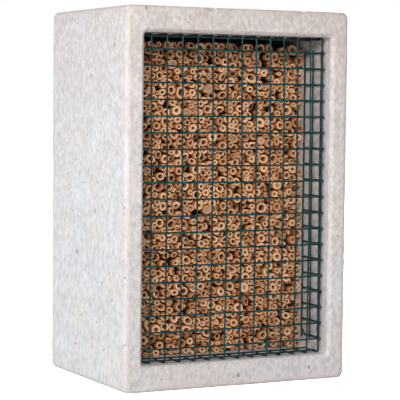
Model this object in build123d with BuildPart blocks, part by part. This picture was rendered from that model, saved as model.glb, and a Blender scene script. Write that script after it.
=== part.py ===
from build123d import *
import math
import os
import random

# Insect hotel: a cast concrete box, open at the front, packed with hollow
# reed stems behind a tray of coated welded wire mesh.
# Millimetres. X to the right, Y towards the back, Z up. The origin is the
# centre of the base, and the open front faces -Y.

# ---- driving dimensions -------------------------------------------------

# cast box
box_width = 194.0
box_depth = 145.0
box_height = 292.0
side_wall = 14.85
slab_wall = 19.4  # top slab and floor slab
back_wall = 15.0
upright_edge_round = 5.0
slab_edge_round = 3.5
mouth_round = 2.5  # lip of the opening
cavity_corner_round = 3.0

# welded mesh
wire_diameter = 1.4
mesh_pitch = 12.7
weld_sink = 0.2  # how far two crossing wires are pressed into each other
bend_radius = 2.0  # centre line of the wire at a tray corner
lattice_offset = 8.9  # from the left tray side to the first upright
lowest_rung_rise = 12.05  # above the cavity floor

# tray of mesh
tray_clearance = 0.5  # from the wire to the cavity wall
tray_inset = 3.5  # from the front of the box to the crown of the tray
side_to_side_bow = 4.5
top_to_bottom_bow = 1.5
side_return_end = 39.5  # behind the front of the box
side_upright_gap = 0.3  # from a side bend to the first upright behind it
cross_rung_gap = 0.1  # from a top or bottom bend to the first rung behind it
wire_stub = 2.0  # free wire end past the last weld

# reeds
guard_to_reed_gap = 1.6  # from the ends of the side returns to the nearest stem
reed_scatter = 4.4  # ragged ends, from the nearest to the usual farthest
reed_sink = 7.0  # farther still for the shortest stem
reed_gap = 0.16  # smallest space between two stems
reed_floor_gap = 0.1
headroom = 5.0  # loose space over the top stems
thin_reed_radius = 1.9
wide_reed_radius = 5.0
thin_reed_wall = 0.85  # wall of the thinnest stem
wide_reed_wall = 1.5  # wall of the widest stem
reed_wall_scatter = 0.2
reed_fill = 0.86  # share of the stack's area that stems ask for
settle_rounds = 140
reed_seed = 7
layer_count = 40
cane_count = 22  # the widest stems, kept as a node of their own

# ---- derived sizes ------------------------------------------------------

box_front = -box_depth / 2
cavity_back = box_depth / 2 - back_wall
cavity_width = box_width - 2 * side_wall
cavity_height = box_height - 2 * slab_wall
cavity_middle = box_height / 2

wire_radius = wire_diameter / 2
weld_offset = wire_diameter - weld_sink
tray_half_width = cavity_width / 2 - tray_clearance - wire_radius
tray_half_height = cavity_height / 2 - tray_clearance - wire_radius
tray_crown = box_front + tray_inset
bend_clearance = bend_radius + wire_radius
lowest_rung_height = slab_wall + lowest_rung_rise
side_first_upright = (tray_inset + side_to_side_bow + top_to_bottom_bow + bend_clearance
                      + side_upright_gap)  # behind the front of the box
cross_first_rung = weld_offset + bend_clearance + cross_rung_gap  # behind the mesh face
nearest_reed = box_front + side_return_end + guard_to_reed_gap


# ---- cast box -----------------------------------------------------------


def cast_box():
    """One casting: five walls, an open front, soft edges and a rounded mouth."""
    with BuildPart() as housing:
        with BuildSketch():
            Rectangle(box_width, box_depth)
        extrude(amount=box_height)
        fillet(housing.edges().filter_by(Axis.Z), radius=upright_edge_round)
        slab_edges = housing.edges().group_by(Axis.Z)
        fillet(slab_edges[0] + slab_edges[-1], radius=slab_edge_round)
        with BuildSketch(Plane.XZ.offset(-box_front)) as mouth:
            with Locations((0, cavity_middle)):
                RectangleRounded(cavity_width, cavity_height, cavity_corner_round)
        extrude(amount=box_front - cavity_back, mode=Mode.SUBTRACT)
        front_face = housing.faces().sort_by(Axis.Y)[0]
        fillet(front_face.inner_wires()[0].edges(), radius=mouth_round)
    return housing.part


# ---- welded mesh tray ---------------------------------------------------


def bow_radius(half_span, bow):
    """Radius of an arc that rises by bow over twice half_span."""
    return (half_span**2 + bow**2) / (2 * bow)


def bend_wire(plane, half_span, crown, bow, return_end):
    """Add a wire of the tray: a bowed front run with a return at each end.

    The plane's x axis points into the box and its y axis along the run.
    """
    arc = bow_radius(half_span, bow)
    lean = math.degrees(math.asin((half_span - bend_radius) / (arc - bend_radius)))
    corner = crown + arc - (arc - bend_radius) * math.cos(math.radians(lean))
    with BuildLine(plane) as path:
        back = Line((return_end, half_span), (corner, half_span))
        turn = JernArc(back @ 1, back % 1, bend_radius, 90 - lean)
        run = JernArc(turn @ 1, turn % 1, arc, 2 * lean)
        turn = JernArc(run @ 1, run % 1, bend_radius, 90 - lean)
        Line(turn @ 1, (return_end, -half_span))
    with BuildSketch(Plane(back @ 0, z_dir=back % 0)) as section:
        Circle(wire_radius)
    sweep(sections=section.sketch, path=path.line)


def rung_heights():
    """Heights of the horizontal wires, on the mesh's pitch."""
    top = box_height - slab_wall - tray_clearance - bend_radius
    count = int((top - lowest_rung_height) / mesh_pitch) + 1
    return [lowest_rung_height + mesh_pitch * i for i in range(count)]


def guard_rungs(heights):
    """Horizontal wires, the outer ones of the mesh."""
    with BuildPart() as wires:
        for height in heights:
            rise = (height - cavity_middle) / tray_half_height
            crown = tray_crown + top_to_bottom_bow * rise**2
            plane = Plane((0, 0, height), x_dir=(0, 1, 0), z_dir=(0, 0, 1))
            bend_wire(plane, tray_half_width, crown, side_to_side_bow,
                      box_front + side_return_end)
    return wires.part


def guard_uprights():
    """Upright wires, welded behind the rungs, with one inside the right-hand bend."""
    first = lattice_offset - tray_half_width
    corner = tray_half_width - bend_radius
    count = int((corner - 2 * wire_diameter - first) / mesh_pitch) + 1
    places = [first + mesh_pitch * i for i in range(count)] + [corner]
    weld_depth = top_to_bottom_bow + cross_first_rung + mesh_pitch
    with BuildPart() as wires:
        for x in places:
            face = tray_crown + side_to_side_bow * (x / tray_half_width) ** 2
            plane = Plane((x, 0, cavity_middle), x_dir=(0, 1, 0), z_dir=(1, 0, 0))
            bend_wire(plane, tray_half_height, face + weld_offset, top_to_bottom_bow,
                      face + weld_depth + wire_stub)
    return wires.part


def side_uprights(side, heights):
    """Straight wires up one side return, inside the ends of the rungs."""
    x = side * (tray_half_width - weld_offset)
    last = side_return_end - wire_radius
    count = int((last - side_first_upright) / mesh_pitch) + 1
    depths = [box_front + side_first_upright + mesh_pitch * i for i in range(count)]
    with BuildPart() as wires:
        with BuildSketch(Plane.XY.offset(heights[0] - wire_stub)):
            with Locations(*[(x, y) for y in depths]):
                Circle(wire_radius)
        extrude(amount=heights[-1] - heights[0] + 2 * wire_stub)
    return wires.part


def cross_rungs(side):
    """Bowed wires along the top (side 1) or bottom (side -1) return."""
    height = cavity_middle + side * (tray_half_height - weld_offset)
    first = tray_crown + top_to_bottom_bow + cross_first_rung
    arc = bow_radius(tray_half_width, side_to_side_bow)
    lean = math.degrees(math.asin((tray_half_width - bend_radius - wire_diameter) / arc))
    with BuildPart() as wires:
        for depth in (first, first + mesh_pitch):
            with BuildLine(Plane.XY.offset(height)):
                run = CenterArc((0, depth + arc), arc, -90 - lean, 2 * lean)
            with BuildSketch(Plane(run @ 0, z_dir=run % 0)):
                Circle(wire_radius)
            sweep(path=run)
    return wires.part


# ---- reeds --------------------------------------------------------------


def reed_radius(chance):
    """Mostly thin stems, with a few wide canes."""
    spread = 0.6 * chance.random() + 0.4 * chance.random() ** 3
    return thin_reed_radius + (wide_reed_radius - thin_reed_radius) * spread


def reed_wall(radius, chance):
    """Wall of a stem: a wide stem has a thicker one."""
    width = (radius - thin_reed_radius) / (wide_reed_radius - thin_reed_radius)
    wall = thin_reed_wall + (wide_reed_wall - thin_reed_wall) * width
    return wall + reed_wall_scatter * (2 * chance.random() - 1)


def scatter_stems(width, height, chance):
    """Stems [x, z, radius] spread over the stack on a loose grid."""
    radii = []
    while sum(math.pi * r * r for r in radii) < reed_fill * width * height:
        radii.append(reed_radius(chance))
    cell = math.sqrt(width * height / len(radii))
    columns = round(width / cell)
    rows = math.ceil(len(radii) / columns)
    stems = []
    for i, radius in enumerate(radii):
        x = (i % columns + chance.random()) * width / columns
        z = (i // columns + chance.random()) * height / rows
        stems.append([x, z, radius])
    return stems


def near_pairs(stems, cell):
    """Index pairs of stems in the same or touching cells of a square grid."""
    cells = {}
    for i, (x, z, _) in enumerate(stems):
        cells.setdefault((int(x // cell), int(z // cell)), []).append(i)
    pairs = []
    for (column, row), members in cells.items():
        for step in ((0, 0), (1, 0), (-1, 1), (0, 1), (1, 1)):
            others = cells.get((column + step[0], row + step[1]), [])
            pairs += [(i, j) for i in members for j in others if step != (0, 0) or i < j]
    return pairs


def settle(stems, width, height):
    """Push stems apart and down until they lie side by side."""
    for step in range(settle_rounds):
        for stem in stems:
            stem[1] -= 0.05 * (1 - step / settle_rounds)
        for i, j in near_pairs(stems, 2 * wide_reed_radius + reed_gap):
            a, b = stems[i], stems[j]
            dx, dz = b[0] - a[0], b[1] - a[1]
            apart = math.hypot(dx, dz) or 1e-6
            push = (a[2] + b[2] + reed_gap - apart) / 2
            if push > 0:
                a[0] -= dx / apart * push
                a[1] -= dz / apart * push
                b[0] += dx / apart * push
                b[1] += dz / apart * push
        for stem in stems:
            edge = stem[2] + reed_floor_gap
            stem[0] = min(max(stem[0], edge), width - edge)
            stem[1] = min(max(stem[1], edge), height - edge)


def trim(stems):
    """Thin the stems that still press on a neighbour until each has its gap."""
    for i, j in near_pairs(stems, 2 * wide_reed_radius + reed_gap):
        a, b = stems[i], stems[j]
        room = math.hypot(b[0] - a[0], b[1] - a[1]) - reed_gap
        if a[2] + b[2] > room:
            share = room / (a[2] + b[2])
            a[2] *= share
            b[2] *= share


def stack_of_reeds():
    """All stems as (x, z, radius, bore radius, length), from the floor up."""
    chance = random.Random(reed_seed)
    height = cavity_height - headroom
    stems = scatter_stems(cavity_width, height, chance)
    settle(stems, cavity_width, height)
    trim(stems)
    reeds = []
    for x, z, radius in sorted(stems, key=lambda stem: stem[1]):
        bore = radius - min(reed_wall(radius, chance), radius / 2)
        front = nearest_reed + reed_scatter * chance.random() + reed_sink * chance.random() ** 8
        reeds.append((x - cavity_width / 2, z + slab_wall, radius, bore, cavity_back - front))
    return reeds


def lay(reeds):
    """A group of tubes, each standing forward from the box's back wall."""
    with BuildPart() as layer:
        for x, z, radius, bore, length in reeds:
            with BuildSketch(Plane.XZ.offset(-cavity_back)):
                with Locations((x, z)):
                    Circle(radius)
                    Circle(bore, mode=Mode.SUBTRACT)
            extrude(amount=length)
    return layer.part


# ---- write every sub-part -----------------------------------------------


def write(name, part):
    part.label = name
    export_step(part, f"parts/{name}.step")


def main():
    os.makedirs("parts", exist_ok=True)
    write("housing", cast_box())

    heights = rung_heights()
    write("guard_rungs", guard_rungs(heights))
    write("guard_uprights", guard_uprights())
    write("guard_right_uprights", side_uprights(1, heights))
    write("guard_left_uprights", side_uprights(-1, heights))
    write("guard_top_rungs", cross_rungs(1))
    write("guard_bottom_rungs", cross_rungs(-1))

    reeds = stack_of_reeds()
    canes = sorted(reeds, key=lambda reed: reed[3])[-cane_count:]
    reeds = [reed for reed in reeds if reed not in canes]
    write("wide_canes", lay(canes))
    for layer in range(layer_count):
        first = layer * len(reeds) // layer_count
        last = (layer + 1) * len(reeds) // layer_count
        write(f"reed_layer_{layer + 1:02d}", lay(reeds[first:last]))
    print(len(reeds), "reeds and", len(canes), "canes")


if __name__ == "__main__":
    main()
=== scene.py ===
"""Looks of an insect hotel: a cast box of reed stems behind a tray of welded mesh.

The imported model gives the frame. Every piece is built in metres in that frame, at
the place its node has there, and rides on its node's body.
"""

import logging
import math
import random
from dataclasses import dataclass
from enum import Enum
from typing import Any, Callable

import bmesh
import bpy
import numpy as np
from mathutils import Matrix, Vector, noise


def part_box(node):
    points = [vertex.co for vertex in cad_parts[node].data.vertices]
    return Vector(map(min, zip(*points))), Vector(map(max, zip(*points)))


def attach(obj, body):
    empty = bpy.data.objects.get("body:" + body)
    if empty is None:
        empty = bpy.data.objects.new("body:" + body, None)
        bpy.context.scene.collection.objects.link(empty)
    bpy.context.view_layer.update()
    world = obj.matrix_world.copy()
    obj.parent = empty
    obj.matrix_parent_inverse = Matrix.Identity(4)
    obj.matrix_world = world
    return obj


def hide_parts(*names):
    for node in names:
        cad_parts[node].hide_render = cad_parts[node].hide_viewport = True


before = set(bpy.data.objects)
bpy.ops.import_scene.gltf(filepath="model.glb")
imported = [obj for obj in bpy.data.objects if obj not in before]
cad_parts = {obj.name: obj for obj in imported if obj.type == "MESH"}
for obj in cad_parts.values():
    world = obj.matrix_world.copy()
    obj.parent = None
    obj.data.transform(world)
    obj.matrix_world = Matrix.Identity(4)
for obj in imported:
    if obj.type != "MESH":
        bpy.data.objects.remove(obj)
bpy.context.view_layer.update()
MM = 0.001

log = logging.getLogger("insect_hotel")


class Ring(Enum):
    """Rings of a stem, from its back end round the sawn end and down the bore."""

    BACK = 0
    EDGE = 1
    RIM_OUTSIDE = 2
    RIM_INSIDE = 3
    BOTTOM = 4


class Body(Enum):
    """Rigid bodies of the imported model."""

    HOTEL = "hotel"
    GUARD = "guard"


class Slot(Enum):
    """Material slots of the record."""

    CONCRETE = "concrete"
    WIRE = "coated_wire"
    REED = "reed"


# ---- node trees ----------------------------------------------------------


class Tree:
    """Short forms for filling a shader or geometry node tree."""

    def __init__(self, tree: bpy.types.NodeTree) -> None:
        """Keep the tree that the nodes go into."""
        self.tree = tree

    def fill(self, socket: bpy.types.NodeSocket, value: Any) -> None:
        """Link a socket into another one, or set its value.

        Args:
            socket: the input to fill.
            value: an output socket to link, or a plain value.
        """
        if isinstance(value, bpy.types.NodeSocket):
            self.tree.links.new(value, socket)
        else:
            socket.default_value = value

    def node(self, kind: str, inputs: dict[Any, Any] | None = None, **settings: Any) -> bpy.types.Node:
        """Add a node.

        Args:
            kind: the node's type name.
            inputs: values or output sockets, by input name or number.
            **settings: the node's own properties.

        Returns:
            The new node.
        """
        node = self.tree.nodes.new(kind)
        for name, value in settings.items():
            setattr(node, name, value)
        for key, value in (inputs or {}).items():
            if isinstance(key, str):
                socket = next(s for s in node.inputs if s.name == key and s.enabled)
            else:
                socket = node.inputs[key]
            self.fill(socket, value)
        return node

    def result(self, node: bpy.types.Node) -> bpy.types.NodeSocket:
        """The first output that the node's settings leave in use."""
        return next(socket for socket in node.outputs if socket.enabled)

    def math(self, operation: str, *values: Any) -> bpy.types.NodeSocket:
        """Result of a math node on numbers or sockets."""
        return self.node("ShaderNodeMath", dict(enumerate(values)), operation=operation).outputs[0]

    def vector(self, operation: str, *values: Any) -> bpy.types.NodeSocket:
        """Result of a vector math node on vectors or sockets."""
        return self.node("ShaderNodeVectorMath", dict(enumerate(values)), operation=operation).outputs[0]

    def between(self, value: Any, low: float, high: float, to_low: float = 0.0,
                to_high: float = 1.0) -> bpy.types.NodeSocket:
        """The value carried from low..high to to_low..to_high, held at the ends.

        Args:
            value: the number to carry over.
            low: where its range starts.
            high: where its range ends.
            to_low: result at low.
            to_high: result at high.

        Returns:
            The carried value.
        """
        return self.node("ShaderNodeMapRange", {
            "Value": value, "From Min": low, "From Max": high, "To Min": to_low,
            "To Max": to_high}).outputs["Result"]

    def mix(self, share: Any, first: Any, second: Any) -> bpy.types.NodeSocket:
        """Colour between first and second, by share."""
        return self.node("ShaderNodeMix", {0: share, 6: first, 7: second}, data_type="RGBA").outputs[2]

    def random(self, low: float, high: float, owner: Any, seed: Any) -> bpy.types.NodeSocket:
        """A number from low to high that stays the same for one owner."""
        return self.result(self.node("FunctionNodeRandomValue", {
            "Min": low, "Max": high, "ID": owner, "Seed": seed}, data_type="FLOAT"))

    def attribute(self, name: str, kind: str = "FLOAT") -> bpy.types.NodeSocket:
        """A named attribute, read inside a geometry tree."""
        return self.result(self.node("GeometryNodeInputNamedAttribute", {"Name": name}, data_type=kind))

    def by_ring(self, values: dict[Ring, Any]) -> bpy.types.NodeSocket:
        """One value for each ring of a stem, nought where none is given.

        Args:
            values: the values, by ring.

        Returns:
            The value of the ring that a point is on.
        """
        node = self.node("GeometryNodeIndexSwitch", data_type="FLOAT")
        while len(node.index_switch_items) < len(Ring):
            node.index_switch_items.new()
        self.fill(node.inputs["Index"], self.math("ROUND", self.attribute("ring")))
        for ring in Ring:
            self.fill(node.inputs[1 + ring.value], values.get(ring, 0.0))
        return node.outputs[0]

    def store(self, geometry: Any, name: str, value: Any, kind: str = "FLOAT") -> bpy.types.NodeSocket:
        """Geometry with a named attribute added to its points."""
        return self.node("GeometryNodeStoreNamedAttribute", {
            "Geometry": geometry, "Name": name, "Value": value}, data_type=kind).outputs[0]

    def dress(self, geometry: Any, finish: Any) -> bpy.types.NodeSocket:
        """Geometry shaded smooth, made real and given its finish.

        Args:
            geometry: the geometry to dress.
            finish: its material.

        Returns:
            The dressed geometry.
        """
        smooth = self.node("GeometryNodeSetShadeSmooth", {"Geometry": geometry}).outputs[0]
        real = self.node("GeometryNodeRealizeInstances", {"Geometry": smooth}).outputs[0]
        return self.node("GeometryNodeSetMaterial", {"Geometry": real, "Material": finish}).outputs[0]


def new_tree(kind: str, name: str, inputs: dict[str, str], outputs: dict[str, str]) -> tuple[
        Tree, bpy.types.Node, bpy.types.Node]:
    """An empty node group with named sockets.

    Args:
        kind: the group's type name.
        name: the group's name.
        inputs: input names and their socket types.
        outputs: output names and their socket types.

    Returns:
        The tree, its input node and its output node.
    """
    group = bpy.data.node_groups.new(name, kind)
    for way, sockets in (("INPUT", inputs), ("OUTPUT", outputs)):
        for label, socket in sockets.items():
            group.interface.new_socket(label, in_out=way, socket_type="NodeSocket" + socket)
    tree = Tree(group)
    return tree, tree.node("NodeGroupInput"), tree.node("NodeGroupOutput")


def show(name: str, mesh: bpy.types.Mesh) -> bpy.types.Object:
    """A new object with this mesh, linked to the scene.

    Args:
        name: the object's name.
        mesh: its mesh.

    Returns:
        The new object.
    """
    piece = bpy.data.objects.new(name, mesh)
    bpy.context.scene.collection.objects.link(piece)
    return piece


def applied(piece: bpy.types.Object) -> bpy.types.Mesh:
    """The piece's mesh with its modifiers worked out; they are taken off the piece.

    Args:
        piece: an object with modifiers.

    Returns:
        The new mesh.
    """
    depsgraph = bpy.context.evaluated_depsgraph_get()
    mesh = bpy.data.meshes.new_from_object(piece.evaluated_get(depsgraph), depsgraph=depsgraph)
    piece.modifiers.clear()
    return mesh


def grow(source: bpy.types.Object, tree: Tree, values: dict[str, Any], name: str) -> bpy.types.Object:
    """Run a geometry tree on a source object and keep the result as a plain mesh.

    Args:
        source: an object that holds the starting points or lines; it is removed.
        tree: the geometry tree.
        values: the tree's input values by name.
        name: the new piece's name.

    Returns:
        The new mesh object.
    """
    modifier = source.modifiers.new("grow", "NODES")
    modifier.node_group = tree.tree
    for item in tree.tree.interface.items_tree:
        if item.item_type == "SOCKET" and item.in_out == "INPUT" and item.name in values:
            modifier[item.identifier] = values[item.name]
    mesh = applied(source)
    bpy.data.objects.remove(source)
    mesh.name = name
    return show(name, mesh)


def hand_over(piece: bpy.types.Object, body: Body, slot: Slot, *nodes: str) -> None:
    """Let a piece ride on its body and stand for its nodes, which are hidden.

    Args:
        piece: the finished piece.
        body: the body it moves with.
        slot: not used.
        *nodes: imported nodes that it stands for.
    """
    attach(piece, body.value)
    if nodes:
        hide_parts(*nodes)
    log.info("%s: %d faces", piece.name, len(piece.data.polygons))


# ---- finishes ------------------------------------------------------------


def rgb(red: float, green: float, blue: float) -> tuple[float, float, float, float]:
    """Linear colour from three screen levels of 0 to 255.

    Args:
        red: red level.
        green: green level.
        blue: blue level.

    Returns:
        Red, green, blue and full cover, each 0 to 1.
    """
    def linear(level: float) -> float:
        """One channel made linear."""
        share = level / 255
        return share / 12.92 if share <= 0.04045 else ((share + 0.055) / 1.055) ** 2.4
    return linear(red), linear(green), linear(blue), 1.0


def texture_group() -> bpy.types.NodeTree:
    """Grain, blotches and streaks of given sizes, shared by all the finishes.

    Returns:
        A group whose sizes are in millimetres; streaks run along its Stretch axis.
    """
    tree, given, out = new_tree("ShaderNodeTree", "surface_texture", {
        "Grain Size": "Float", "Blotch Size": "Float", "Streak Size": "Float", "Stretch": "Vector"},
        {"Grain": "Float", "Blotch": "Float", "Streak": "Float"})
    place = tree.node("ShaderNodeTexCoord").outputs["Object"]
    for label, size, detail in (("Grain", "Grain Size", 3.0), ("Blotch", "Blotch Size", 4.0),
                                ("Streak", "Streak Size", 3.0)):
        where = tree.vector("MULTIPLY", place, given.outputs["Stretch"]) if label == "Streak" else place
        scale = tree.math("DIVIDE", 1.0 / MM, given.outputs[size])
        pattern = tree.node("ShaderNodeTexNoise", {
            "Vector": where, "Scale": scale, "Detail": detail, "Roughness": 0.6})
        tree.fill(out.inputs[label], pattern.outputs[0])
    return tree.tree


class Finish:
    """Start of every finish: a material, its tree, its shader and its texture."""

    def __init__(self, name: str, texture: bpy.types.NodeTree, grain: float, blotch: float,
                 streak: float, stretch: tuple[float, float, float]) -> None:
        """Open the material and set the sizes of its texture in millimetres.

        Args:
            name: the material's name.
            texture: the shared texture group.
            grain: size of the grain.
            blotch: size of the blotches.
            streak: size of the streaks.
            stretch: how the streaks are drawn out along each axis.
        """
        self.material = bpy.data.materials.new(name)
        self.material.use_nodes = True
        self.tree = Tree(self.material.node_tree)
        self.shader = self.material.node_tree.nodes["Principled BSDF"]
        self.texture = self.tree.node("ShaderNodeGroup", node_tree=texture)
        for label, size in (("Grain Size", grain), ("Blotch Size", blotch), ("Streak Size", streak),
                            ("Stretch", stretch)):
            self.texture.inputs[label].default_value = size

    def out(self, label: str) -> bpy.types.NodeSocket:
        """One of the texture's patterns."""
        return self.texture.outputs[label]

    def mark(self, name: str) -> bpy.types.NodeSocket:
        """A number that the mesh carries under this name."""
        return self.tree.node("ShaderNodeAttribute", attribute_name=name).outputs["Fac"]

    def close(self, colour: Any, roughness: Any, height: Any, depth: float) -> bpy.types.Material:
        """Wire up the shader and return the material.

        Args:
            colour: base colour.
            roughness: roughness.
            height: height of the fine relief, 0 to 1.
            depth: the relief's depth in metres.

        Returns:
            The finished material.
        """
        self.tree.fill(self.shader.inputs["Base Color"], colour)
        self.tree.fill(self.shader.inputs["Roughness"], roughness)
        relief = self.tree.node("ShaderNodeBump", {"Height": height, "Distance": depth, "Strength": 0.7})
        self.tree.fill(self.shader.inputs["Normal"], relief.outputs[0])
        return self.material


@dataclass(frozen=True)
class ConcreteFinish:
    """Pale cast concrete: mottled, most at the back, pinholed, warm at its edges; painted shade darkens the
    top, the pinholes and the pits.
    """

    pale: tuple = rgb(203, 199, 197)
    cool: tuple = rgb(195, 196, 200)
    warm: tuple = rgb(198, 180, 166)
    sand: tuple = rgb(148, 139, 132)
    bright: tuple = rgb(224, 222, 221)
    # Weathered tone of the back; the same colour is painted shade at the top of the box.
    weathered_and_top_shade: tuple = rgb(186, 176, 171)
    # Painted shade: dark colour inside the pits and pinholes.
    pit_shade: tuple = rgb(120, 108, 98)
    # Heights over which painted shade darkens the top of the box.
    top_shade_from: float = 0.17
    top_shade_to: float = 0.29
    roughness: float = 0.9
    hole_spacing: float = 7.5 * MM

    def build(self, texture: bpy.types.NodeTree) -> bpy.types.Material:
        """The finished material.

        Args:
            texture: the shared texture group.

        Returns:
            The material.
        """
        finish = Finish("cast_concrete", texture, 1.2, 30.0, 3.0, (1.0, 1.0, 0.6))
        tree = finish.tree
        place = tree.node("ShaderNodeTexCoord").outputs["Object"]
        height = tree.node("ShaderNodeSeparateXYZ", {0: place}).outputs["Z"]
        colour = tree.mix(tree.between(finish.out("Blotch"), 0.4, 0.6), self.pale, self.cool)
        # Painted shade: the colour is darkened towards the top of the box, in place of the light falling off
        # there.
        colour = tree.mix(tree.between(height, self.top_shade_from, self.top_shade_to, 0.0, 0.6),
                          colour, self.weathered_and_top_shade)
        rear = finish.mark("rear")
        colour = tree.mix(tree.math("MULTIPLY", rear, 0.55), colour, self.weathered_and_top_shade)
        cloud = tree.between(finish.out("Blotch"), 0.5, 0.68, 0.0, 0.4)
        colour = tree.mix(cloud, colour, self.bright)
        coarse = tree.between(rear, 0.0, 1.0, 0.4, 0.72)
        dark = tree.between(finish.out("Streak"), 0.49, 0.36, 0.0, 0.75)
        colour = tree.mix(tree.math("MULTIPLY", dark, coarse), colour, self.sand)
        light = tree.between(finish.out("Streak"), 0.51, 0.64)
        colour = tree.mix(tree.math("MULTIPLY", light, coarse), colour, self.bright)
        speck = tree.between(finish.out("Grain"), 0.45, 0.34, 0.0, 0.6)
        colour = tree.mix(tree.math("MULTIPLY", speck, coarse), colour, self.sand)
        patchy = tree.between(finish.out("Streak"), 0.4, 0.6)
        worn = tree.math("MULTIPLY", finish.mark("wear"), patchy)
        colour = tree.mix(tree.math("MULTIPLY", worn, 0.6), colour, self.warm)
        # Painted shade: the pinholes and the cut pits are darkened as if shaded inside; the pinholes also
        # sink the relief.
        holes = tree.node("ShaderNodeTexVoronoi", {"Vector": place, "Scale": 1 / self.hole_spacing})
        picked = tree.math("GREATER_THAN", tree.node(
            "ShaderNodeSeparateXYZ", {0: holes.outputs["Color"]}).outputs[0], 0.6)
        hole_relief_and_shade = tree.math("MULTIPLY", picked, tree.between(holes.outputs["Distance"], 0.06, 0.11, 1.0, 0.0))
        hole_relief_and_shade = tree.math("MAXIMUM", hole_relief_and_shade, finish.mark("pit_shade"))
        colour = tree.mix(tree.math("MULTIPLY", hole_relief_and_shade, 0.75), colour, self.pit_shade)
        rough = tree.between(finish.out("Grain"), 0.3, 0.7, self.roughness - 0.08, 1.0)
        finish.shader.inputs["Specular IOR Level"].default_value = 0.25
        relief = tree.math("SUBTRACT", tree.math("ADD", finish.out("Grain"), finish.out("Streak")), hole_relief_and_shade)
        return finish.close(colour, rough, relief, 0.3 * MM)


@dataclass(frozen=True)
class WireFinish:
    """Dark blue-green plastic coating, a little dusty and uneven."""

    dark: tuple = rgb(0, 30, 36)
    light: tuple = rgb(0, 72, 76)

    def build(self, texture: bpy.types.NodeTree) -> bpy.types.Material:
        """The finished material.

        Args:
            texture: the shared texture group.

        Returns:
            The material.
        """
        finish = Finish("coated_wire", texture, 0.8, 10.0, 3.0, (1.0, 1.0, 1.0))
        tree = finish.tree
        colour = tree.mix(tree.between(finish.out("Blotch"), 0.35, 0.65), self.dark, self.light)
        rough = tree.between(finish.out("Grain"), 0.3, 0.7, 0.26, 0.48)
        finish.shader.inputs["Specular IOR Level"].default_value = 0.35
        return finish.close(colour, rough, finish.out("Grain"), 0.08 * MM)


@dataclass(frozen=True)
class ReedFinish:
    """Sawn reed: pale sawn ring, orange-brown skin, grey-brown bore; painted shade darkens the skin between
    the stems and the bore with depth.
    """

    cut: tuple = rgb(246, 206, 164)
    cut_brown: tuple = rgb(190, 128, 76)
    skin: tuple = rgb(232, 164, 98)
    skin_brown: tuple = rgb(164, 102, 54)
    gap_shade: tuple = rgb(26, 14, 8)
    bore: tuple = rgb(190, 142, 100)
    bore_shade: tuple = rgb(46, 36, 34)
    pith: tuple = rgb(168, 146, 128)

    def build(self, texture: bpy.types.NodeTree) -> bpy.types.Material:
        """The finished material.

        Args:
            texture: the shared texture group.

        Returns:
            The material.
        """
        finish = Finish("reed", texture, 0.5, 8.0, 0.9, (1.0, 0.06, 1.0))
        tree = finish.tree
        ring, tone = finish.mark("ring"), finish.mark("tone")
        cut = tree.mix(tree.between(finish.out("Grain"), 0.35, 0.65, 0.0, 0.35), self.cut, self.cut_brown)
        cut = tree.mix(tree.between(ring, 2.0, 2.3, 0.65, 0.0), cut, self.cut_brown)
        cut = tree.mix(tree.between(tone, 0.35, 1.0, 0.0, 0.85), cut, self.cut_brown)
        skin = tree.mix(tree.between(finish.out("Streak"), 0.4, 0.6), self.skin, self.skin_brown)
        skin = tree.mix(tree.between(tone, 0.2, 1.0, 0.0, 0.8), skin, self.skin_brown)
        # Painted shade: the skin is darkened almost to black behind the sawn end, where shade falls between
        # the stems.
        skin = tree.mix(tree.between(ring, 0.985, 0.93), skin, self.gap_shade)
        # Painted shade: the bore is darkened with depth, standing in for the shade down the tube.
        deep = tree.between(ring, 3.05, 3.4)
        bore = tree.mix(deep, self.bore, self.bore_shade)
        bore = tree.mix(tree.math("MULTIPLY", finish.mark("plug"), deep), bore, self.pith)
        colour = tree.mix(tree.between(ring, 1.5, 2.0), skin, cut)
        colour = tree.mix(tree.between(ring, 2.98, 3.02), colour, bore)
        height = tree.math("ADD", finish.out("Grain"), finish.out("Streak"))
        return finish.close(colour, tree.between(ring, 1.0, 2.0, 0.5, 0.8), height, 0.15 * MM)


# ---- cast box ------------------------------------------------------------


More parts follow.
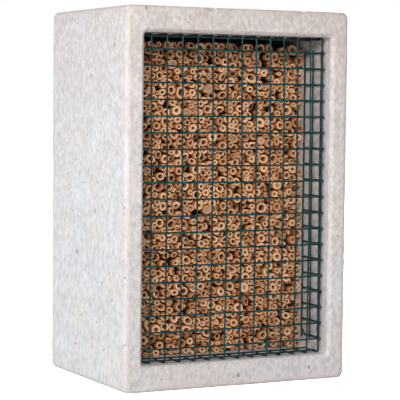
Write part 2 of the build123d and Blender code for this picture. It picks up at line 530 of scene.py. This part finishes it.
@dataclass
class CastBox:
    """The concrete housing, lofted round its open front as one closed skin."""

    side_wall: float = 14.85 * MM
    slab_wall: float = 19.4 * MM
    back_wall: float = 15.0 * MM
    upright_round: float = 3.5 * MM
    slab_round: float = 2.6 * MM
    corner_round: float = 4.5 * MM
    mouth_round: float = 2.5 * MM
    mouth_flatness: float = 0.8
    cavity_corner: float = 3.0 * MM
    grid: float = 2.6 * MM
    waviness: float = 0.3 * MM
    edge_unevenness: float = 0.9 * MM
    wear_width: float = 7.0 * MM
    pits: int = 170
    chips: int = 34
    marks: tuple = ("wear", "rear", "pit_shade")
    sharp: float = math.radians(33)
    seed: int = 11

    def __post_init__(self) -> None:
        """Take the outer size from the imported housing."""
        low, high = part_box("housing")
        self.half_width, self.half_depth, self.half_height = ((high[i] - low[i]) / 2 for i in range(3))

    def loop(self, half_x: float, half_z: float, corner: float, y: float) -> list[tuple]:
        """One ring of points round the box: a rectangle with rounded corners.

        Args:
            half_x: half the rectangle's width.
            half_z: half its height.
            corner: radius of its corners.
            y: its depth.

        Returns:
            The points; every loop has the same number of them.
        """
        across = round(2 * self.half_width / self.grid)
        up = round(2 * self.half_height / self.grid)
        turn = 5
        points = []
        corners = ((1, -1), (1, 1), (-1, 1), (-1, -1))
        for quarter, (side, rise) in enumerate(corners):
            middle = Vector((side * (half_x - corner), rise * (half_z - corner)))
            start = (quarter - 1) * math.pi / 2
            for i in range(turn):
                angle = start + math.pi / 2 * i / turn
                points.append(middle + corner * Vector((math.cos(angle), math.sin(angle))))
            ahead = corner * Vector((math.cos(start + math.pi / 2), math.sin(start + math.pi / 2)))
            side, rise = corners[(quarter + 1) % 4]
            target = Vector((side * (half_x - corner), rise * (half_z - corner)))
            steps = across if quarter % 2 else up
            points += [(middle + ahead).lerp(target + ahead, i / steps) for i in range(steps)]
        return [(p.x, y, p.y + self.half_height) for p in points]

    def profile(self) -> list[tuple[float, float, float, float]]:
        """Inset at the sides, inset at the slabs, corner radius and depth of every loop.

        The loops run from the middle of the back out to its edge, along the outside to
        the front, round the mouth and down the cavity.

        Returns:
            The four sizes of each loop, in that order.
        """
        steps = []
        turns = [i / 5 * math.pi / 2 for i in range(6)]
        depth_round = (self.upright_round + self.slab_round) / 2
        end = self.half_depth - depth_round

        def edge(angle: float, way: int) -> tuple[float, float, float, float]:
            """A loop on the rounded outer edge at the back (way 1) or the front (way -1).

            Args:
                angle: how far round the edge, from the face to the wall.
                way: 1 at the back, -1 at the front.

            Returns:
                The loop's insets, corner radius and depth.
            """
            share = 1 - math.sin(angle)
            corner = self.corner_round + share * 1.5 * MM
            return (self.upright_round * share, self.slab_round * share, corner,
                    way * (end + depth_round * math.cos(angle)))

        side, slab, corner, y = edge(turns[0], 1)
        count = round(self.half_width / (2 * self.grid))
        for i in range(1, count):
            share = i / count
            steps.append((self.half_width - (self.half_width - side) * share,
                          self.half_height - (self.half_height - slab) * share, corner * share, y))
        steps += [edge(angle, 1) for angle in turns]
        count = round(2 * end / self.grid)
        steps += [(0.0, 0.0, self.corner_round, end - 2 * end * i / count) for i in range(1, count)]
        steps += [edge(angle, -1) for angle in reversed(turns)]
        last = steps[-1]
        mouth = (self.side_wall - self.mouth_round, self.slab_wall - self.mouth_round,
                 self.cavity_corner + self.mouth_round)
        for i in range(1, 7):
            steps.append(tuple(a + (b - a) * i / 7 for a, b in zip(last, mouth)) + (-self.half_depth,))
        for angle in turns:
            slope = self.mouth_flatness * angle / (math.pi / 2)
            inset = self.mouth_round * (slope + (1 - self.mouth_flatness) * math.sin(angle))
            sink = self.mouth_round * (slope + (1 - self.mouth_flatness) * (1 - math.cos(angle)))
            steps.append((mouth[0] + inset, mouth[1] + inset, mouth[2] - inset, -self.half_depth + sink))
        inner = 2 * self.half_depth - self.mouth_round - self.back_wall
        count = round(inner / (2 * self.grid))
        steps += [(self.side_wall, self.slab_wall, self.cavity_corner,
                   -self.half_depth + self.mouth_round + inner * i / count) for i in range(1, count + 1)]
        return steps

    def edge_share(self, point: Vector) -> float:
        """1 on an outer edge of the box, falling to 0 at the wear's width from it.

        Args:
            point: a place on the box.

        Returns:
            The share.
        """
        gaps = sorted((self.half_width - abs(point.x), self.half_depth - abs(point.y),
                       min(point.z, 2 * self.half_height - point.z)))
        return max(0.0, 1 - max(gaps[1], 0.0) / self.wear_width)

    def weather(self, mesh: bpy.types.Mesh) -> None:
        """Make the walls and edges a little uneven, and mark the edges and the back.

        The loops wind inwards, so the normals point into the concrete here.

        Args:
            mesh: the housing's mesh.
        """
        wear, rear, _ = (mesh.attributes.new(mark, "FLOAT", "POINT") for mark in self.marks)
        normals = [vertex.normal.copy() for vertex in mesh.vertices]
        for vertex, normal in zip(mesh.vertices, normals):
            place = vertex.co.copy()
            edge = self.edge_share(place)
            wave = noise.noise(place / (34 * MM)) * 0.7 + noise.noise(place / (9 * MM)) * 0.3
            lump = max(0.0, noise.noise(place / (6 * MM) + Vector((7, 3, 1))) - 0.05)
            lump += 0.6 * max(0.0, noise.noise(place / (2.6 * MM)) - 0.1)
            move = (wave - 1) * 0.5 * self.waviness - edge ** 3 * lump * self.edge_unevenness
            vertex.co = place + normal * move
            wear.data[vertex.index].value = edge ** 1.5
            rear.data[vertex.index].value = max(0.0, -normal.y) ** 2
        mesh.update()

    def cutters(self) -> bpy.types.Object:
        """Small lumps that leave pinholes in the faces and chips along the edges.

        Returns:
            One object that holds all the lumps, marked apart as pits and chips.
        """
        chance = random.Random(self.seed)
        size = (self.half_width, self.half_depth, self.half_height)
        points, faces = [], []
        shape = bmesh.new()
        bmesh.ops.create_icosphere(shape, subdivisions=2, radius=1.0)
        base = [vertex.co.copy() for vertex in shape.verts]
        sides = [[vertex.index for vertex in face.verts] for face in shape.faces]
        shape.free()

        def add(centre: Vector, radii: Vector) -> None:
            """One lumpy ball.

            Args:
                centre: its middle.
                radii: its half sizes along the three axes.
            """
            first = len(points)
            shift = Vector((chance.random(), chance.random(), chance.random())) * 9
            for vertex in base:
                lump = 1 + 0.35 * noise.noise(vertex * 1.3 + shift)
                points.append(centre + Vector(a * b for a, b in zip(vertex, radii)) * lump)
            faces.extend([[first + i for i in side] for side in sides])

        def spot(face: int, way: int) -> Vector:
            """A random place on one outer face, measured from the box's middle.

            Args:
                face: axis that the face looks along.
                way: 1 or -1 along that axis.

            Returns:
                The place.
            """
            place = Vector([(2 * chance.random() - 1) * half for half in size])
            place[face] = way * size[face]
            return place

        middle = Vector((0, 0, self.half_height))
        made = 0
        while made < self.pits:
            face = chance.choice((0, 0, 0, 1, 1, 2))
            place = spot(face, chance.choice((-1, 1)))
            hollow = face == 1 and place.y < 0 and abs(place.x) < self.half_width - self.side_wall + 2 * MM \
                and abs(place.z) < self.half_height - self.slab_wall + 2 * MM
            if hollow or (face == 2 and place.z < 0):
                continue
            radius = (0.3 + 0.75 * chance.random() ** 2.5) * MM
            radii = Vector((radius, radius, radius * (1 + chance.random())))
            radii[face] = radius * 0.9
            add(middle + place, radii)
            made += 1
        for _ in range(self.chips):
            along = chance.choice((0, 0, 1, 2, 2))
            place = Vector([chance.choice((-1, 1)) * half for half in size])
            place[along] = (2 * chance.random() - 1) * (size[along] - 4 * MM)
            radius = (1.4 + 1.8 * chance.random() ** 2) * MM
            reach = radius * (0.25 + 0.25 * chance.random())
            for axis in range(3):
                if axis != along:
                    place[axis] += math.copysign(reach - 1.0 * MM, place[axis])
            radii = Vector((radius, radius, radius))
            radii[along] *= 1 + 1.5 * chance.random()
            add(middle + place, radii)
        mesh = bpy.data.meshes.new("cutters")
        mesh.from_pydata(points, [], faces)
        # This mark tells the pits from the chips, so that painted shade can darken the pits.
        _, _, pit_shade = (mesh.attributes.new(mark, "FLOAT", "POINT") for mark in self.marks)
        first_chip = self.pits * len(base)
        pit_shade.data.foreach_set("value", [float(i < first_chip) for i in range(len(points))])
        return show("cutters", mesh)

    def build(self, finish: bpy.types.Material) -> bpy.types.Object:
        """The housing as one piece.

        Args:
            finish: the concrete's material.

        Returns:
            The piece.
        """
        loops = [self.loop(self.half_width - side, self.half_height - slab, corner, y)
                 for side, slab, corner, y in self.profile()]
        size = len(loops[0])
        faces = []
        for first in range(0, (len(loops) - 1) * size, size):
            for i in range(size):
                ahead = (i + 1) % size
                faces.append((first + i, first + size + i, first + size + ahead, first + ahead))
        faces.append(tuple(range(size)))
        faces.append(tuple(reversed(range((len(loops) - 1) * size, len(loops) * size))))
        mesh = bpy.data.meshes.new("housing_cast")
        mesh.from_pydata([point for loop in loops for point in loop], [], faces)
        mesh.materials.append(finish)
        self.weather(mesh)
        piece = show("housing_cast", mesh)
        cutters = self.cutters()
        cutters.data.materials.append(finish)
        cut = piece.modifiers.new("pits", "BOOLEAN")
        cut.operation = "DIFFERENCE"
        cut.solver = "MANIFOLD"
        cut.object = cutters
        piece.data = applied(piece)
        # The loops wind inwards, so the finished faces are turned to point outwards.
        piece.data.flip_normals()
        bpy.data.objects.remove(cutters)
        piece.data.shade_smooth()
        piece.data.set_sharp_from_angle(angle=self.sharp)
        hand_over(piece, Body.HOTEL, Slot.CONCRETE, "housing")
        return piece


# ---- welded mesh tray ----------------------------------------------------


@dataclass
class MeshTray:
    """The guard: coated wires welded where they cross, bent back all round."""

    wire: float = 1.4 * MM
    weld_sink: float = 0.2 * MM
    pitch: float = 12.7 * MM
    bend: float = 2.0 * MM
    lattice_offset: float = 8.9 * MM
    bow_across: float = 4.5 * MM
    bow_up: float = 1.5 * MM
    upright_return: float = 20.2 * MM
    wobble: float = 0.9 * MM
    wobble_length: float = 45.0 * MM
    sides: int = 8
    step: float = 7.0 * MM
    kink_rise: float = 6.0 * MM
    kink_run: float = 5.0 * MM
    bead: float = 1.0 * MM
    sharp: float = math.radians(60)
    seed: int = 3

    def __post_init__(self) -> None:
        """Take the tray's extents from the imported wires."""
        self.radius = self.wire / 2
        self.weld = self.wire - self.weld_sink
        low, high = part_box("guard_rungs")
        self.half_x = (high[0] - low[0]) / 2 - self.radius
        self.crown = low[1] + self.radius
        self.rung_end = high[1]
        self.heights = self.spread(low[2], high[2])
        low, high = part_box("guard_uprights")
        self.bottom, self.top = low[2] + self.radius, high[2] - self.radius
        self.half_z = (self.top - self.bottom) / 2
        self.middle = (self.top + self.bottom) / 2
        first = self.lattice_offset - self.half_x
        corner = self.half_x - self.bend
        count = int((corner - 2 * self.wire - first) / self.pitch) + 1
        self.places = [first + self.pitch * i for i in range(count)] + [corner]

    def spread(self, low: float, high: float) -> list[float]:
        """Centres of the wires of one row, from the row's outer limits."""
        count = round((high - low - self.wire) / self.pitch) + 1
        return [low + self.radius + self.pitch * i for i in range(count)]

    def face(self, x: float, z: float) -> float:
        """Depth of the bowed front of the tray."""
        return (self.crown + self.bow_across * (x / self.half_x) ** 2
                + self.bow_up * ((z - self.middle) / self.half_z) ** 2)

    def stretch(self, start: Vector, end: Vector) -> list[Vector]:
        """Points along a straight run, without its end."""
        count = max(1, round((end - start).length / self.step))
        return [start.lerp(end, i / count) for i in range(count)]

    def bent(self, half: float, depth: Callable[[float], float], end: float) -> list[Vector]:
        """A wire across the tray with a return at each end.

        Args:
            half: half the distance between the returns.
            depth: depth of the front run at a distance from the middle.
            end: depth at which the returns end.

        Returns:
            Points of (distance from the middle, depth).
        """
        edge = half - self.bend
        centre = Vector((edge, depth(edge) + self.bend))
        points = self.stretch(Vector((half, end)), Vector((half, centre.y)))
        for i in range(5):
            angle = i / 5 * math.pi / 2
            points.append(centre + self.bend * Vector((math.cos(angle), -math.sin(angle))))
        count = round(edge / self.step)
        points += [Vector((edge * i / count, depth(edge * i / count))) for i in range(count, 0, -1)]
        mirrored = [Vector((-point.x, point.y)) for point in reversed(points)]
        return points + [Vector((0.0, depth(0.0)))] + mirrored

    def rungs(self) -> list[list[Vector]]:
        """The level wires; the lowest has one free end bent up.

        Returns:
            A line of points for each wire.
        """
        lines = []
        for z in self.heights:
            flat = self.bent(self.half_x, lambda x: self.face(x, z), self.rung_end)
            lines.append([Vector((p.x, p.y, z)) for p in flat])
        tip = lines[0][0]
        lines[0][0] = tip + Vector((-0.6 * MM, 0.6 * MM, self.kink_rise))
        lines[0].insert(1, tip + Vector((0, -self.kink_run, 0)))
        return lines

    def uprights(self) -> list[list[Vector]]:
        """The upright wires, behind the level ones.

        Returns:
            A line of points for each wire.
        """
        lines = []
        for x in self.places:
            flat = self.bent(self.half_z, lambda rise: self.face(x, self.middle + rise) + self.weld,
                             self.face(x, self.middle) + self.upright_return)
            lines.append([Vector((x, p.y, self.middle + p.x)) for p in flat])
        return lines

    def side_uprights(self, node: str) -> list[list[Vector]]:
        """Straight wires up one side return.

        Args:
            node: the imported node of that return.

        Returns:
            A line of points for each wire.
        """
        low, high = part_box(node)
        x = (low[0] + high[0]) / 2
        ends = [(Vector((x, y, low[2])), Vector((x, y, high[2]))) for y in self.spread(low[1], high[1])]
        return [self.stretch(bottom, top) + [top] for bottom, top in ends]

    def cross_rungs(self, node: str) -> list[list[Vector]]:
        """Bowed wires along the top or bottom return.

        Args:
            node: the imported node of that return.

        Returns:
            A line of points for each wire.
        """
        low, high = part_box(node)
        z = (low[2] + high[2]) / 2
        bow = self.bow_across * (high[0] / self.half_x) ** 2
        lines = []
        for y in self.spread(low[1], high[1] - bow):
            xs = np.linspace(low[0], high[0], 25)
            lines.append([Vector((x, y + self.bow_across * (x / self.half_x) ** 2, z)) for x in xs])
        return lines

    def welds(self) -> list[Vector]:
        """Middles of the crossings of two wires.

        Returns:
            One point for each weld.
        """
        behind = self.weld / 2
        spots = [Vector((x, self.face(x, z) + behind, z)) for x in self.places for z in self.heights]
        for node, side in (("guard_right_uprights", 1), ("guard_left_uprights", -1)):
            low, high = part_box(node)
            x = side * (self.half_x - behind)
            spots += [Vector((x, y, z)) for y in self.spread(low[1], high[1]) for z in self.heights]
        for node, side in (("guard_top_rungs", 1), ("guard_bottom_rungs", -1)):
            for line in self.cross_rungs(node):
                z = self.middle + side * (self.half_z - behind)
                spots += [Vector((x, line[12].y + self.bow_across * (x / self.half_x) ** 2, z))
                          for x in self.places[:-1]]
        return spots

    def sway(self) -> bpy.types.NodeTree:
        """A group that gives every place of the tray its own small offset.

        Returns:
            The group.
        """
        tree, given, out = new_tree("GeometryNodeTree", "tray_sway", {
            "Wobble": "Float", "Wobble Length": "Float"}, {"Offset": "Vector"})
        place = tree.node("GeometryNodeInputPosition").outputs[0]
        scale = tree.math("DIVIDE", 1.0, given.outputs["Wobble Length"])
        field = tree.node("ShaderNodeTexNoise", {"Vector": place, "Scale": scale, "Detail": 1.0})
        centred = tree.vector("SUBTRACT", field.outputs["Color"], (0.5, 0.5, 0.5))
        scaled = tree.node("ShaderNodeVectorMath", {0: centred}, operation="SCALE")
        tree.fill(scaled.inputs["Scale"], given.outputs["Wobble"])
        tree.fill(out.inputs[0], scaled.outputs[0])
        return tree.tree

    def moved(self, tree: Tree, given: bpy.types.Node, geometry: Any, sway: bpy.types.NodeTree) -> Any:
        """Geometry shifted by the tray's sway.

        Args:
            tree: the tree to work in.
            given: its input node.
            geometry: what to shift.
            sway: the group of offsets.

        Returns:
            The shifted geometry.
        """
        group = tree.node("GeometryNodeGroup", node_tree=sway)
        for label in ("Wobble", "Wobble Length"):
            tree.fill(group.inputs[label], given.outputs[label])
        return tree.node("GeometryNodeSetPosition", {
            "Geometry": geometry, "Offset": group.outputs[0]}).outputs[0]

    def wire_tree(self, sway: bpy.types.NodeTree) -> Tree:
        """The geometry tree that turns lines into wires.

        Args:
            sway: the group of offsets.

        Returns:
            The tree.
        """
        tree, given, out = new_tree("GeometryNodeTree", "coated_wires", {
            "Geometry": "Geometry", "Wire Radius": "Float", "Sides": "Int", "Wobble": "Float",
            "Wobble Length": "Float", "Finish": "Material"}, {"Geometry": "Geometry"})
        lines = tree.node("GeometryNodeMeshToCurve", {0: given.outputs["Geometry"]}).outputs[0]
        lines = self.moved(tree, given, lines, sway)
        section = tree.node("GeometryNodeCurvePrimitiveCircle", {
            "Resolution": given.outputs["Sides"], "Radius": given.outputs["Wire Radius"]})
        wires = tree.node("GeometryNodeCurveToMesh", {
            "Curve": lines, "Profile Curve": section.outputs[0], "Fill Caps": True})
        tree.fill(out.inputs[0], tree.dress(wires.outputs[0], given.outputs["Finish"]))
        return tree

    def bead_tree(self, sway: bpy.types.NodeTree) -> Tree:
        """The geometry tree that sets a bead of coating on every weld.

        Args:
            sway: the group of offsets.

        Returns:
            The tree.
        """
        tree, given, out = new_tree("GeometryNodeTree", "weld_beads", {
            "Geometry": "Geometry", "Bead": "Float", "Wobble": "Float", "Wobble Length": "Float",
            "Seed": "Int", "Finish": "Material"}, {"Geometry": "Geometry"})
        spots = self.moved(tree, given, given.outputs["Geometry"], sway)
        ball = tree.node("GeometryNodeMeshUVSphere", {
            "Segments": 8, "Rings": 5, "Radius": given.outputs["Bead"]}).outputs["Mesh"]
        owner = tree.node("GeometryNodeInputIndex").outputs[0]
        scale = tree.random(0.8, 1.15, owner, given.outputs["Seed"])
        beads = tree.node("GeometryNodeInstanceOnPoints", {
            "Points": spots, "Instance": ball, "Scale": scale}).outputs[0]
        tree.fill(out.inputs[0], tree.dress(beads, given.outputs["Finish"]))
        return tree

    def build(self, finish: bpy.types.Material) -> list[bpy.types.Object]:
        """One piece of wires for each packed row, and the beads.

        Args:
            finish: the coating's material.

        Returns:
            The pieces.
        """
        sway = self.sway()
        tree = self.wire_tree(sway)
        rows = {"guard_rungs": self.rungs(), "guard_uprights": self.uprights()}
        for node in ("guard_right_uprights", "guard_left_uprights"):
            rows[node] = self.side_uprights(node)
        for node in ("guard_top_rungs", "guard_bottom_rungs"):
            rows[node] = self.cross_rungs(node)
        shared = {"Wobble": self.wobble, "Wobble Length": self.wobble_length, "Finish": finish}
        pieces = []
        for node, lines in rows.items():
            points, edges = [], []
            for line in lines:
                first = len(points)
                points += line
                edges += [(first + i, first + i + 1) for i in range(len(line) - 1)]
            mesh = bpy.data.meshes.new("lines")
            mesh.from_pydata(points, edges, [])
            values = {"Wire Radius": self.radius, "Sides": self.sides, **shared}
            piece = grow(show("lines", mesh), tree, values, node + "_wires")
            piece.data.set_sharp_from_angle(angle=self.sharp)
            hand_over(piece, Body.GUARD, Slot.WIRE, node)
            pieces.append(piece)
        mesh = bpy.data.meshes.new("spots")
        mesh.from_pydata(self.welds(), [], [])
        values = {"Bead": self.bead, "Seed": self.seed, **shared}
        beads = grow(show("spots", mesh), self.bead_tree(sway), values, "weld_beads")
        hand_over(beads, Body.GUARD, Slot.WIRE)
        return pieces + [beads]


# ---- reeds ---------------------------------------------------------------


@dataclass
class ReedStack:
    """All stems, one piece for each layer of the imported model."""

    sides: int = 12
    crush: float = 0.13
    slant: float = 0.42
    lean: float = 0.22 * MM
    plugged: float = 0.09
    dish: float = 0.45 * MM
    sharp: float = math.radians(42)
    seed: int = 5

    def stems(self, node: str) -> np.ndarray:
        """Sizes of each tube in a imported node.

        Args:
            node: the node's name.

        Returns:
            A row for each tube: centre x, front y, centre z, radius, bore, length.
        """
        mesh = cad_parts[node].data
        where = np.zeros(len(mesh.vertices) * 3)
        mesh.vertices.foreach_get("co", where)
        where = where.reshape(-1, 3)
        _, same = np.unique(np.round(where / (0.001 * MM)).astype(np.int64), axis=0, return_inverse=True)
        same = same.ravel()
        corners = np.zeros(len(mesh.loops), np.int64)
        mesh.loops.foreach_get("vertex_index", corners)
        triangles = same[corners].reshape(-1, 3)
        label = np.arange(same.max() + 1)
        before = None
        while before is None or not np.array_equal(label, before):
            before = label.copy()
            low = label[triangles].min(axis=1)
            for corner in range(3):
                np.minimum.at(label, triangles[:, corner], low)
            label = label[label]
        owner = label[same]
        rows = []
        for one in np.unique(owner):
            tube = where[owner == one]
            low, high = tube.min(axis=0), tube.max(axis=0)
            x, z = (low[0] + high[0]) / 2, (low[2] + high[2]) / 2
            bore = np.hypot(tube[:, 0] - x, tube[:, 2] - z).min()
            rows.append((x, low[1], z, (high[0] - low[0]) / 2, bore, high[1] - low[1]))
        return np.array(rows)

    def tree(self) -> Tree:
        """The geometry tree that turns points into stems.

        Returns:
            The tree.
        """
        tree, given, out = new_tree("GeometryNodeTree", "reed_stems", {
            "Geometry": "Geometry", "Sides": "Int", "Crush": "Float", "Slant": "Float",
            "Lean": "Float", "Plugged": "Float", "Dish": "Float", "Seed": "Int", "Finish": "Material"},
            {"Geometry": "Geometry"})
        spans = len(Ring) - 1
        stem = tree.node("GeometryNodeMeshCylinder", {
            "Vertices": given.outputs["Sides"], "Side Segments": spans, "Radius": 1.0,
            "Depth": float(spans)})
        place = tree.node("GeometryNodeInputPosition").outputs[0]
        height = tree.node("ShaderNodeSeparateXYZ", {0: place}).outputs["Z"]
        pattern = tree.store(stem.outputs["Mesh"], "ring", tree.math("ADD", height, spans / 2))
        pattern = tree.store(pattern, "spoke", place, "FLOAT_VECTOR")
        spots = tree.store(given.outputs["Geometry"], "centre", place, "FLOAT_VECTOR")
        spots = tree.store(spots, "stem", tree.node("GeometryNodeInputIndex").outputs[0], "INT")
        many = tree.node("GeometryNodeInstanceOnPoints", {"Points": spots, "Instance": pattern})
        real = tree.node("GeometryNodeRealizeInstances", {"Geometry": many.outputs[0]}).outputs[0]
        owner = tree.attribute("stem", "INT")
        numbers = iter(range(1, 99))

        def chance(low: float, high: float) -> bpy.types.NodeSocket:
            """The next random number of each stem."""
            return tree.random(low, high, owner, tree.math("ADD", given.outputs["Seed"], next(numbers)))

        spoke = tree.node("ShaderNodeSeparateXYZ", {0: tree.attribute("spoke", "FLOAT_VECTOR")})
        angle = tree.math("ARCTAN2", spoke.outputs["Y"], spoke.outputs["X"])

        def wave(turns: float) -> bpy.types.NodeSocket:
            """A wave round the stem, at a random start."""
            return tree.math("COSINE", tree.math("MULTIPLY_ADD", angle, turns, chance(0, math.tau)))

        radius, bore = tree.attribute("radius"), tree.attribute("bore")
        crush = tree.math("MULTIPLY", given.outputs["Crush"], tree.math("POWER", chance(0, 1), 1.5))
        shape = tree.math("MULTIPLY_ADD", wave(2.0), crush, tree.math("MULTIPLY_ADD", wave(3.0), 0.025, 1.0))
        choke = tree.math("MULTIPLY", bore, chance(0.55, 0.95))
        reach = tree.by_ring({
            Ring.BACK: radius, Ring.EDGE: radius, Ring.RIM_OUTSIDE: tree.math("SUBTRACT", radius, 0.14 * MM),
            Ring.RIM_INSIDE: choke, Ring.BOTTOM: tree.math("MULTIPLY", choke, 0.92)})
        plug = tree.math("LESS_THAN", chance(0, 1), given.outputs["Plugged"])
        shallow = tree.math("MULTIPLY_ADD", tree.math("POWER", chance(0, 1), 2.0), 7 * MM, 0.5 * MM)
        far = tree.math("MULTIPLY_ADD", chance(0, 1), 30 * MM, 14 * MM)
        bottom = tree.node("GeometryNodeSwitch", {"Switch": plug, "False": far, "True": shallow},
                           input_type="FLOAT").outputs[0]
        deep = tree.by_ring({
            Ring.BACK: tree.attribute("length"), Ring.EDGE: 0.2 * MM,
            Ring.RIM_INSIDE: tree.math("MULTIPLY", given.outputs["Dish"], chance(0.2, 1.2)),
            Ring.BOTTOM: bottom})
        tilt = tree.math("MULTIPLY_ADD", tree.math("POWER", chance(0, 1), 3.0), 2.2, 0.2)
        tilt = tree.math("MULTIPLY", tree.math("MULTIPLY", tilt, given.outputs["Slant"]), reach)
        ragged = tree.random(-0.1 * MM, 0.1 * MM, tree.node("GeometryNodeInputIndex").outputs[0],
                             given.outputs["Seed"])
        saw = tree.math("MULTIPLY_ADD", wave(1.0), tilt, tree.math("ADD", ragged, tilt))
        cut = tree.by_ring({ring: 1.0 for ring in (Ring.EDGE, Ring.RIM_OUTSIDE, Ring.RIM_INSIDE)})
        deep = tree.math("MULTIPLY_ADD", saw, cut, deep)
        swing = tree.math("MULTIPLY", given.outputs["Lean"], tree.by_ring(
            {ring: -1.0 if ring == Ring.BACK else 1.0 for ring in Ring}))
        ways = {}
        for axis, turn in (("X", "COSINE"), ("Z", "SINE")):
            out_by = tree.math("MULTIPLY", tree.math("MULTIPLY", tree.math(turn, angle), reach), shape)
            ways[axis] = tree.math("MULTIPLY_ADD", chance(-1, 1), swing, out_by)
        offset = tree.node("ShaderNodeCombineXYZ", {"X": ways["X"], "Y": deep, "Z": ways["Z"]}).outputs[0]
        moved = tree.vector("ADD", tree.attribute("centre", "FLOAT_VECTOR"), offset)
        stems = tree.node("GeometryNodeSetPosition", {"Geometry": real, "Position": moved}).outputs[0]
        stems = tree.store(stems, "tone", chance(0, 1))
        stems = tree.store(stems, "plug", plug)
        tree.fill(out.inputs[0], tree.dress(stems, given.outputs["Finish"]))
        return tree

    def build(self, finish: bpy.types.Material) -> list[bpy.types.Object]:
        """One piece of stems for each packed layer.

        Args:
            finish: the reed's material.

        Returns:
            The pieces.
        """
        tree = self.tree()
        pieces = []
        names = sorted(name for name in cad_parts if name.startswith(("reed_layer", "wide_canes")))
        for number, node in enumerate(names):
            rows = self.stems(node)
            spots = bpy.data.meshes.new("spots")
            spots.from_pydata([tuple(row[:3]) for row in rows], [], [])
            for column, label in enumerate(("radius", "bore", "length"), 3):
                data = spots.attributes.new(label, "FLOAT", "POINT")
                data.data.foreach_set("value", rows[:, column].astype(np.float32))
            values = {"Sides": self.sides, "Crush": self.crush, "Slant": self.slant, "Lean": self.lean,
                      "Plugged": self.plugged, "Dish": self.dish, "Seed": self.seed + 100 * number,
                      "Finish": finish}
            piece = grow(show("spots", spots), tree, values, node + "_stems")
            piece.data.set_sharp_from_angle(angle=self.sharp)
            hand_over(piece, Body.HOTEL, Slot.REED, node)
            pieces.append(piece)
        return pieces


# ---- studio --------------------------------------------------------------


@dataclass(frozen=True)
class Lamp:
    """A square soft light: sizes in metres, power in watts."""

    name: str
    place: tuple
    size: float
    power: float
    colour: tuple


@dataclass
class Studio:
    """Pale floor, soft light and the camera."""

    lens: float = 149.6
    place: tuple = (-0.618, -1.1985, 0.2201)
    azimuth: float = math.radians(27.39)
    dip: float = math.radians(3.37)
    roll: float = math.radians(-0.60)
    sky_light: float = 0.24
    floor_glow: float = 0.95
    floor_reach: float = 6.0
    aim: tuple = (0.0, 0.0, 0.15)
    lamps: tuple = (
        Lamp("side", (-2.2, -0.05, 0.6), 1.0, 26.0, (0.84, 0.92, 1.0)),
        Lamp("front", (-0.8, -1.25, 0.84), 0.4, 21.5, (1.0, 0.94, 0.91)),
        Lamp("back", (1.5, 1.7, 0.9), 1.0, 26.0, (0.97, 0.97, 1.0)),
    )

    def camera(self) -> None:
        """A long lens, left of the front and a little over the middle."""
        forward = Vector((math.sin(self.azimuth) * math.cos(self.dip),
                          math.cos(self.azimuth) * math.cos(self.dip), -math.sin(self.dip)))
        level = Vector((math.cos(self.azimuth), -math.sin(self.azimuth), 0))
        below = forward.cross(level)
        right = math.cos(self.roll) * level + math.sin(self.roll) * below
        down = math.cos(self.roll) * below - math.sin(self.roll) * level
        data = bpy.data.cameras.new("camera")
        data.lens = self.lens
        data.clip_start = 0.05
        camera = bpy.data.objects.new("camera", data)
        turn = Matrix((right, -down, -forward)).transposed()
        camera.matrix_world = Matrix.Translation(Vector(self.place)) @ turn.to_4x4()
        bpy.context.scene.collection.objects.link(camera)
        bpy.context.scene.camera = camera

    def light(self, lamp: Lamp) -> None:
        """Hang one lamp, aimed at the middle of the box.

        Args:
            lamp: the lamp's sizes.
        """
        data = bpy.data.lights.new(lamp.name, "AREA")
        data.size = lamp.size
        data.energy = lamp.power
        data.color = lamp.colour
        piece = bpy.data.objects.new(lamp.name, data)
        piece.location = lamp.place
        aim = Vector(self.aim) - Vector(lamp.place)
        piece.rotation_euler = aim.to_track_quat("-Z", "Y").to_euler()
        bpy.context.scene.collection.objects.link(piece)

    def floor(self) -> None:
        """A wide pale floor under the box that glows white to the eye, like a light table."""
        mesh = bpy.data.meshes.new("floor")
        far = self.floor_reach
        mesh.from_pydata([(-far, -far, 0), (far, -far, 0), (far, far, 0), (-far, far, 0)], [], [(0, 1, 2, 3)])
        floor = show("floor", mesh)
        material = bpy.data.materials.new("floor")
        material.use_nodes = True
        tree = Tree(material.node_tree)
        shader = material.node_tree.nodes["Principled BSDF"]
        shader.inputs["Base Color"].default_value = (0.88, 0.88, 0.88, 1)
        shader.inputs["Roughness"].default_value = 1.0
        shader.inputs["Specular IOR Level"].default_value = 0.0
        shader.inputs["Emission Color"].default_value = (1, 1, 1, 1)
        seen = tree.node("ShaderNodeLightPath").outputs["Is Camera Ray"]
        tree.fill(shader.inputs["Emission Strength"], tree.between(seen, 0.0, 1.0, 0.0, self.floor_glow))
        mesh.materials.append(material)

    def sky(self) -> None:
        """Even light all round, and plain white behind the box."""
        world = bpy.data.worlds.new("studio")
        bpy.context.scene.world = world
        world.use_nodes = True
        tree = Tree(world.node_tree)
        back = world.node_tree.nodes["Background"]
        back.inputs["Color"].default_value = (1, 1, 1, 1)
        seen = tree.node("ShaderNodeLightPath").outputs["Is Camera Ray"]
        tree.fill(back.inputs["Strength"], tree.between(seen, 0.0, 1.0, self.sky_light, 1.0))

    def build(self) -> None:
        """Set the whole stage."""
        self.camera()
        self.floor()
        self.sky()
        for lamp in self.lamps:
            self.light(lamp)
        bpy.context.scene.view_settings.view_transform = "Standard"


def main() -> None:
    """Build every piece."""
    logging.basicConfig(level=logging.INFO, format="%(name)s: %(message)s")
    Studio().build()
    texture = texture_group()
    CastBox().build(ConcreteFinish().build(texture))
    MeshTray().build(WireFinish().build(texture))
    ReedStack().build(ReedFinish().build(texture))


if __name__ == "__main__":
    main()
